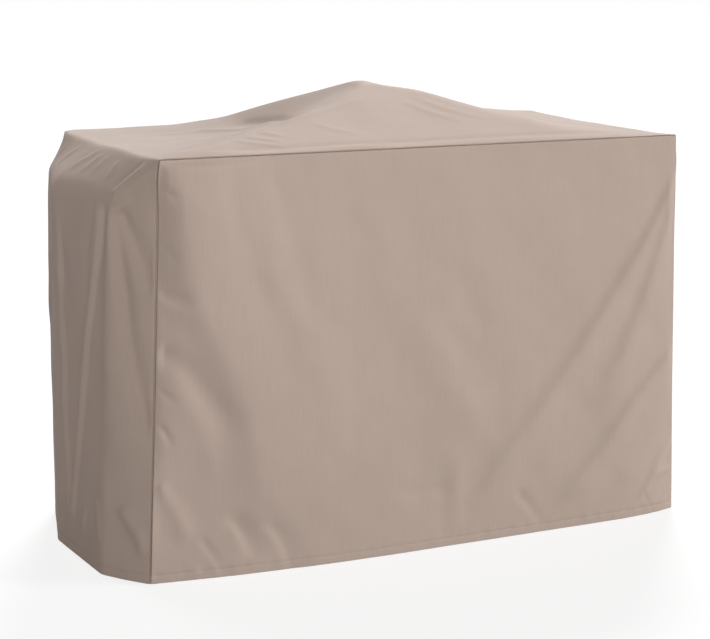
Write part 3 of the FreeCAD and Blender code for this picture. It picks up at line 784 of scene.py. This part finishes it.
def round_the_seam(rows, columns, inset):
    """Rows and columns of a line inset from a long side's three seams, mitred at its top corners.

    It runs from above the hem up the left seam, along the top one, and down the right one.
    """
    first, last = HEM_UP, len(EDGE) - 1
    top, right = rows - 1, columns - 1
    up = np.concatenate([np.arange(first, top - last), np.linspace(top - last, top - inset, 7)])
    along = np.concatenate([np.linspace(inset, last, 7)[1:], np.arange(last + 1, right - last),
                            np.linspace(right - last, right - inset, 7)[:-1]])
    row = np.concatenate([up, np.full(len(along), top - inset), up[::-1]])
    column = np.concatenate([np.full(len(up), inset), along, np.full(len(up), right - inset)])
    return row, column, len(up), len(along)


def binding(points, way, strip_points):
    """Grid of the tape over one seam, on its face against the cloth, and where its stitches run.

    Its first edge is sewn flat to the long side, 15 mm from the seam. From there it climbs over the
    two cut edges, and its far edge lies on the strip, whose columns here start from this seam.
    """
    rows, columns = points.shape[:2]
    out = outward(points, way)
    mirror = MIRROR_Y if way < 0 else np.ones(3)
    lines = []
    # On the long side: how many columns from the seam, and how many millimetres inside the face.
    for inset, depth in ((9.75, 1.05), (9.0, 1.25), (8.0, 1.7), (7.0, 3.0)):
        row, column, up, along = round_the_seam(rows, columns, inset)
        lines.append(at_index(points, row, column) - at_index(out, row, column) * depth * MM)
    row, column, up, along = round_the_seam(rows, columns, 0.0)
    # The ways into the corner and over it turn between one seam and the next over 13 rows.
    station = np.arange(len(row))
    left = (1 - ease(station, up - 7, up + 6))[:, None]
    right = ease(station, up + along - 7, up + along + 6)[:, None]
    top = 1 - left - right
    into = (left * INTO_LEFT + top * INTO_TOP + right * INTO_RIGHT) * mirror
    over = (left * OVER_LEFT + top * OVER_TOP + right * OVER_RIGHT) * mirror
    bottom = at_index(points, row, column)
    # Round the cut edges, at the bottom of the groove.
    lines += [bottom + into * 0.5 * MM - over * 1.1 * MM, bottom + into * 0.5 * MM + over * 0.9 * MM]
    strip_out = outward(strip_points, -way)
    at = station_on(strip_points[:, 0], bottom)
    # On the strip, given as on the long side.
    for column, depth in ((8.5, 1.3), (9.3, 1.05)):
        column = np.full(len(at), column)
        lines.append(at_index(strip_points, at, column) - at_index(strip_out, at, column) * depth * MM)
    tape = np.stack(lines)
    passed = np.cumsum(np.linalg.norm(np.diff(tape[1], axis=0, prepend=tape[1][:1]), axis=1))
    width = np.array([0, 3.7, 7.7, 10.4, 13.6, 15.6, 19.5, 23.0]) * MM
    uv = np.stack(np.broadcast_arrays(width[:, None], passed), -1)
    row, column, up, along = round_the_seam(rows, columns, 9.4)
    inside = at_index(out, row, column)
    seam_run = (at_index(points, row, column) - inside * (1.2 * MM + TAPE), -inside)
    return tape, uv, seam_run


# ---- straps ------------------------------------------------------------------------------------

def strap_frame(corner):
    """Hinge of a strap, and the three ways of its own frame: along it, up the wall, into the cover.

    The hinge is on the face that looks into the cover, where the webbing leaves its sewn tab. The
    middle of the webbing is half its thickness behind that face, so the line to it is turned back
    by that small angle.
    """
    joint = next(j for j in frame["joints"] if j["name"] == f"strap_{corner}_peel")
    hinge = np.array(joint["pos_m"])
    up = np.array(joint["axis"])
    up = up / np.linalg.norm(up) * np.sign(up[2])
    low, high = (np.array(end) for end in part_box(f"strap_webbing_{corner}"))
    reach = (low + high) / 2 - hinge
    reach = reach - up * (reach @ up)
    far = np.linalg.norm(reach)
    sight = reach / far
    aside = np.cross(up, sight)
    aside = -aside * np.sign(aside[0] * hinge[0])
    lean = math.asin(WEBBING / 2 / far)
    along = sight * math.cos(lean) + aside * math.sin(lean)
    inward = aside * math.cos(lean) - sight * math.sin(lean)
    return hinge, np.stack([along, up, inward])


def rounded_half(a, start, end, half, start_round, end_round):
    """Half the width at a of a flat shape from start to end, its corners quarter circles."""
    near = np.clip(start + start_round - a, 0, start_round)
    far = np.clip(a - end + end_round, 0, end_round)
    cut_near = start_round - np.sqrt(start_round ** 2 - near ** 2)
    return half - cut_near - end_round + np.sqrt(end_round ** 2 - far ** 2)


def band(a, depth, half, thick, count=9):
    """Rings of a flat band whose middle runs through (a, depth), as (along, up, inward).

    Every ring stands square to that line. Its two faces are flat, and its edges are half circles.
    """
    flat = np.linspace(-1, 1, count)
    turn = np.linspace(-math.pi / 2, math.pi / 2, 5)[1:-1]
    place = np.concatenate([flat, np.ones(3), flat[::-1], -np.ones(3)])
    edge = np.concatenate([np.zeros(count), np.cos(turn), np.zeros(count), -np.cos(turn)])
    through = np.concatenate([-np.ones(count), np.sin(turn), np.ones(count), -np.sin(turn)])
    step_a, step_depth = np.gradient(a), np.gradient(depth)
    step = np.hypot(step_a, step_depth)
    lift = through * thick / 2
    width = place * (half - thick / 2)[:, None] + edge * thick / 2
    along = a[:, None] - (step_depth / step)[:, None] * lift
    inward = depth[:, None] + (step_a / step)[:, None] * lift
    return np.stack([along, width, inward], -1)


def band_uv(rings):
    """UV of a band: across its width, and along its middle line."""
    middle = rings.mean(1)
    passed = np.cumsum(np.linalg.norm(np.diff(middle, axis=0, prepend=middle[:1]), axis=1))
    return np.stack(np.broadcast_arrays(rings[..., 1], passed[:, None]), -1)


def flat_ends(start, end, start_round, end_round, step):
    """Places along a flat shape with rounded corners, closer together where it rounds."""
    quarter = np.sin(np.linspace(0, math.pi / 2, 9))
    near = start + start_round * (1 - quarter[::-1]) if start_round > 0 else np.array([start])
    far = end - end_round + end_round * quarter
    middle = near[-1] + (far[0] - near[-1]) * spread(far[0] - near[-1], step)
    return np.concatenate([near, middle[1:-1], far])


# Places along a strap, from its hinge. Depths are from the webbing's face that looks into the cover.
TAB_BACK = -28.4 * MM                     # middle of the tab's back fold
TAB_FRONT = -1.65 * MM                    # middle of its front fold
TAB_SEWN = -26 * MM, -4 * MM              # the box sewn across it
BEND_END = 16 * MM                        # where the webbing's bend at the hinge ends
WEBBING_END = 165 * MM
HOOK_START, HOOK_END = 97 * MM, 157 * MM
LOOP_START, LOOP_END = 94.5 * MM, 159.5 * MM
HOOK_TAPE = 0.6 * MM                      # backing of the hook patch
PATCH_FACE = -WEBBING - HOOK_TAPE         # depth of its hooked face
WALL = -3 * LAYER + 0.05 * MM             # depth of the cover's wall
PILE = 1.4 * MM                           # loop patch, pile and backing
WEBBING_STEP = 2.4 * MM                   # length of the webbing's faces


def tab_line():
    """Middle line of the tab below its top layer: two half circles and two straight layers."""
    back = np.radians(np.linspace(90, 270, 9))
    front = np.radians(np.linspace(90, -90, 9))
    run = spread(TAB_FRONT - TAB_BACK, WEBBING_STEP)[1:-1]
    depth = -WEBBING / 2
    a = np.concatenate([TAB_BACK + LAYER / 2 * np.cos(back), TAB_BACK + (TAB_FRONT - TAB_BACK) * run,
                        TAB_FRONT + LAYER / 2 * np.cos(front),
                        TAB_FRONT + (TAB_BACK + 1 * MM - TAB_FRONT) * np.append(run, 1)])
    inward = np.concatenate([depth - LAYER / 2 + LAYER / 2 * np.sin(back), depth - LAYER + 0 * run,
                             depth - 1.5 * LAYER + LAYER / 2 * np.sin(front),
                             np.full(len(run) + 1, depth - 2 * LAYER)])
    return a, inward


def box_run(start, end, half, depth, way, crossed=False):
    """Line of a sewn box from start to end, and across it both ways where crossed."""
    corners = [(start, -half), (end, -half), (end, half), (start, half), (start, -half)]
    if crossed:
        corners += [(end, half), (end, -half), (start, half)]
    corners = np.array(corners)
    legs = [a + (b - a) * np.linspace(0, 1, 12)[:, None] for a, b in zip(corners[:-1], corners[1:])]
    line = np.concatenate(legs)
    points = np.column_stack([line, np.full(len(line), depth)])
    return points, np.tile([0.0, 0.0, way], (len(line), 1))


def hooks(start, end, half, face):
    """Points and faces of a hook patch's hooks, which stand on its face and point to the wall.

    Each is a bent pin, and every other row faces the other way. Real ones stand about 1.2 mm apart.
    These are 2 mm apart and thicker, so that they show.
    """
    pitch = 2.0 * MM
    a = np.arange(start + pitch, end - pitch / 2, pitch)
    width = np.arange(-half + pitch, half - pitch / 2, pitch)
    a, width = (v.ravel() for v in np.meshgrid(a, width, indexing="ij"))
    facing = np.where(np.round((width + half) / pitch) % 2 > 0.5, 1.0, -1.0)
    bend = np.array([0, 0.02, 0.25, 0.62, 0.72]) * MM
    drop = np.array([-0.1, 0.5, 0.82, 0.80, 0.52]) * MM
    radius = np.array([0.24, 0.2, 0.19, 0.17, 0.12]) * MM
    lean = np.radians([0, 10, 55, 110, 160])
    ring_a = bend[:, None] + radius[:, None] * np.cos(CORNERS) * np.cos(lean)[:, None]
    ring_width = radius[:, None] * np.sin(CORNERS)
    ring_drop = drop[:, None] - radius[:, None] * np.cos(CORNERS) * np.sin(lean)[:, None]
    points = np.stack([a[:, None, None] + facing[:, None, None] * ring_a,
                       width[:, None, None] + facing[:, None, None] * ring_width,
                       face - ring_drop + 0 * a[:, None, None]], -1)
    return points, pins(points, -1, [[19, 18, 17, 16]])


def strap(corner, seed):
    """One hook-and-loop strap: its sewn tab and loop patch, and its webbing with the hook patch."""
    hinge, ways = strap_frame(corner)
    body = f"strap_{corner}"

    def placed(points):
        return points @ ways + hinge + ways[2] * CLEAR

    def strap_bar(name, rings, material):
        return bar(f"{name}_{corner}", placed(rings), material, band_uv(rings))

    def sewn(name, *boxes):
        return stitches(f"{name}_{corner}", [(placed(points), out @ ways) for points, out in boxes])

    bend = spread(BEND_END, 1 * MM) * BEND_END
    run = np.concatenate([TAB_BACK * (1 - spread(-TAB_BACK, WEBBING_STEP))[:-1], bend,
                          flat_ends(BEND_END + 2 * MM, WEBBING_END, 0, TIP_ROUND, WEBBING_STEP)])
    tip = rounded_half(run, -1, WEBBING_END, HALF_WEBBING, 1 * MM, TIP_ROUND)
    rings = band(run, np.full(len(run), -WEBBING / 2), tip, WEBBING)
    webbing = strap_bar("webbing", rings, webbing_material)
    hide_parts(f"strap_webbing_{corner}")

    a, inward = tab_line()
    rings = band(a, inward, np.full(len(a), HALF_WEBBING), WEBBING)
    tab = strap_bar("tab", rings, webbing_material)
    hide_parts(f"strap_tab_{corner}")
    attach(tab, "cover")

    run = flat_ends(LOOP_START, LOOP_END, PATCH_ROUND, PATCH_ROUND, 0.8 * MM)
    tip = rounded_half(run, LOOP_START, LOOP_END, HALF_WEBBING, PATCH_ROUND, PATCH_ROUND)
    rings = band(run, np.full(len(run), WALL + PILE / 2), tip, PILE, 33)
    fuzz = np.random.default_rng(seed).uniform(-0.3, 0.1, rings.shape[:2]) * MM
    rings[..., 2] += np.where(rings[..., 2] > WALL + 0.6 * PILE, fuzz, 0)
    loop = strap_bar("loop_pile", rings, loop_material)
    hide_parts(f"loop_patch_{corner}")
    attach(loop, "cover")

    run = flat_ends(HOOK_START, HOOK_END, PATCH_ROUND, PATCH_ROUND, 2 * MM)
    tip = rounded_half(run, HOOK_START, HOOK_END, HALF_HOOK, PATCH_ROUND, PATCH_ROUND)
    rings = band(run, np.full(len(run), -WEBBING - HOOK_TAPE / 2), tip, HOOK_TAPE)
    hook_tape = strap_bar("hook_tape", rings, hook_material)
    points, faces = hooks(HOOK_START, HOOK_END, HALF_HOOK, PATCH_FACE)
    hook_rows = mesh_object(f"hooks_{corner}", placed(points), [faces])
    hook_rows.data.materials.append(hook_material)
    for piece in (hook_tape, hook_rows):
        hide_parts(f"hook_patch_{corner}")
        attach(piece, body)

    inset = 2 * MM
    fixed = sewn("fixed_stitches",
                 box_run(*TAB_SEWN, HALF_WEBBING - 3 * MM, 0.0, 1, crossed=True),
                 box_run(LOOP_START + inset, LOOP_END - inset, HALF_WEBBING - inset, WALL + PILE, 1))
    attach(fixed, "cover")
    inset = 1.5 * MM
    swinging = sewn("patch_stitches",
                    box_run(HOOK_START + inset, HOOK_END - inset, HALF_HOOK - inset, 0.0, 1),
                    box_run(HOOK_START + inset, HOOK_END - inset, HALF_HOOK - inset, PATCH_FACE, -1))
    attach(swinging, body)

    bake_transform(webbing)


# ---- materials ---------------------------------------------------------------------------------

def linear(colour):
    """Linear RGBA of an sRGB hex colour."""
    parts = [int(colour[i:i + 2], 16) / 255 for i in (0, 2, 4)]
    return [p / 12.92 if p <= 0.04045 else ((p + 0.055) / 1.055) ** 2.4 for p in parts] + [1.0]


def add(tree, kind, settings=None, **inputs):
    """Add one node, with its properties, and its inputs as values or as nodes or sockets to link."""
    node = tree.nodes.new(f"ShaderNode{kind}")
    for name, value in (settings or {}).items():
        setattr(node, name, value)
    for name, value in inputs.items():
        socket = node.inputs[int(name[1:]) if name[0] == "_" else name.replace("_", " ")]
        if isinstance(value, bpy.types.Node):
            value = value.outputs[0]
        if isinstance(value, bpy.types.NodeSocket):
            tree.links.new(value, socket)
        else:
            socket.default_value = value
    return node


def new_material(name):
    """An empty material, and the tree to build it in."""
    material = bpy.data.materials.new(name)
    material.use_nodes = True
    material.node_tree.nodes.clear()
    return material, material.node_tree


def finished(material, colour, shade, height, strength, depth, **sockets):
    """The material, with a shader of its colour times shade, its bump from height, and its finish."""
    tree = material.node_tree
    tinted = add(tree, "VectorMath", {"operation": "SCALE"}, _0=linear(colour)[:3], Scale=shade)
    bump = add(tree, "Bump", Height=height, Strength=strength, Distance=depth * MM)
    shader = add(tree, "BsdfPrincipled", Base_Color=tinted, Normal=bump, **sockets)
    add(tree, "OutputMaterial", Surface=shader)
    return material


def woven_polyester(colour):
    """Solution-dyed polyester canvas, plain woven from slubby yarn.

    It is matt, with a faint lustre at a low angle. The yarns run along the cut, and thick and thin
    ones leave pale and dark streaks some 3 mm wide and 90 mm long. The real weave, about 0.6 mm
    from yarn to yarn, is too fine to show, so it is drawn at 2.2 mm.
    """
    material, tree = new_material("woven_polyester")
    cut = add(tree, "UVMap", {"uv_map": "cut"})
    along = add(tree, "Mapping", Vector=cut, Scale=(1 / (3 * MM), 1 / (90 * MM), 1))
    streak = add(tree, "TexNoise", {"noise_dimensions": "2D"}, Vector=along, Scale=1.0, Detail=3.0,
                 Roughness=0.6)
    cloud = add(tree, "TexNoise", {"noise_dimensions": "2D"}, Vector=cut, Scale=1 / (90 * MM), Detail=3.0,
                Roughness=0.55)
    yarns = 2 * math.pi / (2.2 * MM)
    place = add(tree, "Mapping", Vector=cut, Scale=(yarns, yarns, 1))
    parts = add(tree, "SeparateXYZ", Vector=place).outputs
    warp = add(tree, "Math", {"operation": "SINE"}, _0=parts[0])
    weft = add(tree, "Math", {"operation": "SINE"}, _0=parts[1])
    weave = add(tree, "Math", {"operation": "MULTIPLY"}, _0=warp, _1=weft)
    streaky = add(tree, "MapRange", Value=streak, From_Min=0.3, From_Max=0.7, To_Min=0.98, To_Max=1.02)
    cloudy = add(tree, "MapRange", Value=cloud, From_Min=0.3, From_Max=0.7, To_Min=0.99, To_Max=1.01)
    woven = add(tree, "MapRange", Value=weave, From_Min=-1.0, From_Max=1.0, To_Min=0.97, To_Max=1.03)
    shade = add(tree, "Math", {"operation": "MULTIPLY"}, _0=streaky, _1=cloudy)
    shade = add(tree, "Math", {"operation": "MULTIPLY"}, _0=shade, _1=woven)
    lift = add(tree, "Math", {"operation": "MULTIPLY_ADD"}, _0=streak, _1=0.6, _2=weave)
    return finished(material, colour, shade, lift, 0.25, 0.4, Roughness=0.75, IOR=1.5,
                    Specular_IOR_Level=0.35, Sheen_Weight=0.10, Sheen_Roughness=0.2)


def coated_back(colour):
    """Inner face of the same canvas: a thin polyurethane coat over the weave, satin and greyer."""
    material, tree = new_material("polyurethane_coated_back")
    cut = add(tree, "UVMap", {"uv_map": "cut"})
    grain = add(tree, "TexNoise", {"noise_dimensions": "2D"}, Vector=cut, Scale=1 / (12 * MM), Detail=4.0,
                Roughness=0.6)
    shade = add(tree, "MapRange", Value=grain, From_Min=0.3, From_Max=0.7, To_Min=0.95, To_Max=1.05)
    return finished(material, colour, shade, grain, 0.15, 0.4, Roughness=0.45)


def ribbed(name, colour, rib, rough, sheen):
    """Woven tape or webbing: ribs across it, one every rib millimetres, and a finer twill between."""
    material, tree = new_material(name)
    cut = add(tree, "UVMap", {"uv_map": "cut"})
    turns = math.pi / (rib * MM)
    place = add(tree, "Mapping", Vector=cut, Scale=(turns, 2 * turns, 1))
    parts = add(tree, "SeparateXYZ", Vector=place).outputs
    wave = add(tree, "Math", {"operation": "SINE"}, _0=parts[0])
    slant = add(tree, "Math", {"operation": "MULTIPLY_ADD"}, _0=wave, _1=0.8, _2=parts[1])
    ribs = add(tree, "Math", {"operation": "SINE"}, _0=slant)
    worn = add(tree, "TexNoise", {"noise_dimensions": "2D"}, Vector=cut, Scale=1 / (8 * MM), Detail=3.0,
               Roughness=0.6)
    height = add(tree, "Math", {"operation": "MULTIPLY_ADD"}, _0=worn, _1=0.8, _2=ribs)
    shade = add(tree, "MapRange", Value=height, From_Min=-1.0, From_Max=1.8, To_Min=0.82, To_Max=1.12)
    return finished(material, colour, shade, height, 0.5, 0.3, Roughness=rough, Sheen_Weight=sheen)


def grained(name, colour, grain, rough, sheen, strength):
    """A fine random surface on Object coordinates, with lumps of about grain millimetres."""
    material, tree = new_material(name)
    place = add(tree, "TexCoord").outputs["Object"]
    lumps = add(tree, "TexNoise", Vector=place, Scale=1 / (grain * MM), Detail=4.0, Roughness=0.65)
    shade = add(tree, "MapRange", Value=lumps, From_Min=0.3, From_Max=0.7, To_Min=0.85, To_Max=1.15)
    return finished(material, colour, shade, lumps, strength, 0.4, Roughness=rough, Sheen_Weight=sheen)


# ---- floor, light and camera -------------------------------------------------------------------

WORLD_LIGHT = 0.125                       # of the dome, where 1 is plain white
FLOOR_REACH = 30
SUN_ANGLE = 17                            # degrees across each lamp, for soft shadows

LENS, SENSOR = 88.59, 36                  # millimetres
CAMERA_PLACE = (-1.92731, -4.40490, 1.55095)
CAMERA_TILT, CAMERA_TURN = 78.165, -23.903    # degrees up from straight down, and to its left


def floor_material():
    """White painted studio floor. Its own white is evened out where the camera sees it."""
    material, tree = new_material("white_studio_floor")
    paint = add(tree, "BsdfDiffuse", Color=linear("8C8C8C"))
    camera_ray = add(tree, "LightPath").outputs["Is Camera Ray"]
    seen = add(tree, "Math", {"operation": "MULTIPLY"}, _0=camera_ray, _1=0.80)
    white = add(tree, "Emission", Color=(1, 1, 1, 1), Strength=seen)
    add(tree, "OutputMaterial", Surface=add(tree, "AddShader", _0=paint, _1=white))
    return material


def white_world():
    """A dome of soft light, and plain white where the camera or a reflection sees it."""
    world = bpy.data.worlds.new("studio")
    world.use_nodes = True
    tree = world.node_tree
    tree.nodes.clear()
    rays = add(tree, "LightPath").outputs
    seen = rays["Is Camera Ray"]
    for ray in ("Is Glossy Ray", "Is Transmission Ray"):
        seen = add(tree, "Math", {"operation": "MAXIMUM"}, _0=seen, _1=rays[ray])
    strength = add(tree, "MapRange", Value=seen, To_Min=WORLD_LIGHT, To_Max=1.0)
    add(tree, "OutputWorld", Surface=add(tree, "Background", Color=(1, 1, 1, 1), Strength=strength))
    bpy.context.scene.world = world


def soft_light(name, azimuth, height_angle, strength):
    """A wide soft light from far off. Azimuth 0 is in front of the cover and 90 is to its right.

    Strength 1 lights a face that looks at it as brightly as white surroundings would.
    """
    light = bpy.data.lights.new(name, "SUN")
    light.angle = math.radians(SUN_ANGLE)
    light.energy = strength * math.pi
    lamp = bpy.data.objects.new(name, light)
    bpy.context.collection.objects.link(lamp)
    lamp.rotation_euler = (math.pi / 2 - math.radians(height_angle), 0, math.radians(azimuth))


corners = np.array([[-1, -1, 0], [1, -1, 0], [1, 1, 0], [-1, 1, 0]], float) * FLOOR_REACH
floor = mesh_object("floor", corners, [np.array([[0, 1, 2, 3]])])
floor.data.materials.append(floor_material())
white_world()
soft_light("right", 64, 12, 0.84)
soft_light("front", -26, 5, 0.52)
soft_light("back_left", -165, 50, 0.16)
soft_light("back_right", 150, 44, 0.76)

view = bpy.data.cameras.new("camera")
view.lens = LENS
view.sensor_width = SENSOR
camera = bpy.data.objects.new("camera", view)
bpy.context.collection.objects.link(camera)
camera.location = CAMERA_PLACE
camera.rotation_euler = (math.radians(CAMERA_TILT), 0, math.radians(CAMERA_TURN))
bpy.context.scene.camera = camera
bpy.context.scene.view_settings.view_transform = "Standard"


# ---- the pieces --------------------------------------------------------------------------------

outer_face = woven_polyester("B3A094")
inner_face = coated_back("A79C92")
# Grosgrain polyester binding tape: fine ribs and a low lustre. Its dark brown is partly the tape's own
# colour and partly painted shade for the bottom of the seam grooves.
tape_and_groove_shade_material = ribbed("grosgrain_polyester_tape_and_groove_shade", "6B5C50", 1.6, 0.7, 0.1)
# Polypropylene webbing: coarse ribs with a soft shine.
webbing_material = ribbed("polypropylene_webbing", "5E534A", 2.4, 0.5, 0.1)
# Moulded nylon hooks on a nylon tape: smooth and slightly glossy. The grain is the tape's weave.
hook_material = grained("moulded_nylon_hooks", "57504A", 1.2, 0.35, 0.0, 0.2)
# Brushed nylon loop pile: fuzzy, so it is matt and pale at a low angle.
loop_material = grained("brushed_nylon_loop_pile", "5A524B", 1.0, 0.95, 0.6, 0.8)
# Bonded polyester sewing thread, a shade darker than the cloth: smooth, with a faint shine.
thread_material = grained("bonded_polyester_thread", "7A6A5E", 0.8, 0.45, 0.0, 0.2)

front_points, front_uv = long_side(FRONT_FOLDS, 11, False)
back_points, back_uv = long_side(BACK_FOLDS, 23, True)
strip_points, strip_uv = strip(37, cut_edge(front_points), cut_edge(back_points))

cuts = [("front_cloth", "front_panel", front_points, front_uv, 1, (1.56, 1.11)),
        ("back_cloth", "back_panel", back_points, back_uv, -1, (1.56, 1.11)),
        ("top_and_ends_cloth", "top_and_ends_panel", strip_points, strip_uv, -1, (0.81, 3.78))]
for name, node, points, uv, way, flat in cuts:
    cloth = cloth_piece(name, points, uv, way, [outer_face, inner_face])
    out = outward(points, way)
    # Its stitches show outside, and at the same height inside, on the turned-up layer.
    hems = [(points[HEM_STITCHED], out[HEM_STITCHED]),
            (points[0] * 0.7 + points[1] * 0.3, -out[HEM_STITCHED])]
    if node == "top_and_ends_panel":
        hems += [(points[-1 - HEM_STITCHED], out[-1 - HEM_STITCHED]),
                 (points[-1] * 0.7 + points[-2] * 0.3, -out[-1 - HEM_STITCHED])]
    hem = stitches(f"hem_stitches_{node}", hems)
    for piece in (cloth, hem):
        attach(piece, "cover")
    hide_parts(node)

for side, points, way in (("front", front_points, 1), ("back", back_points, -1)):
    tape_points, tape_uv, seam_run = binding(points, way, strip_points[:, ::way])
    # The tape's dark brown is partly painted shade at the bottom of the seam grooves.
    tape = cloth_piece(f"{side}_seam_tape", tape_points, tape_uv, way, [tape_and_groove_shade_material], TAPE)
    seam = stitches(f"{side}_seam_stitches", [seam_run])
    for piece in (tape, seam):
        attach(piece, "cover")
    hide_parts(f"{side}_seam_binding")

for number, corner in enumerate(("front_left", "back_left", "front_right", "back_right")):
    strap(corner, 51 + number)
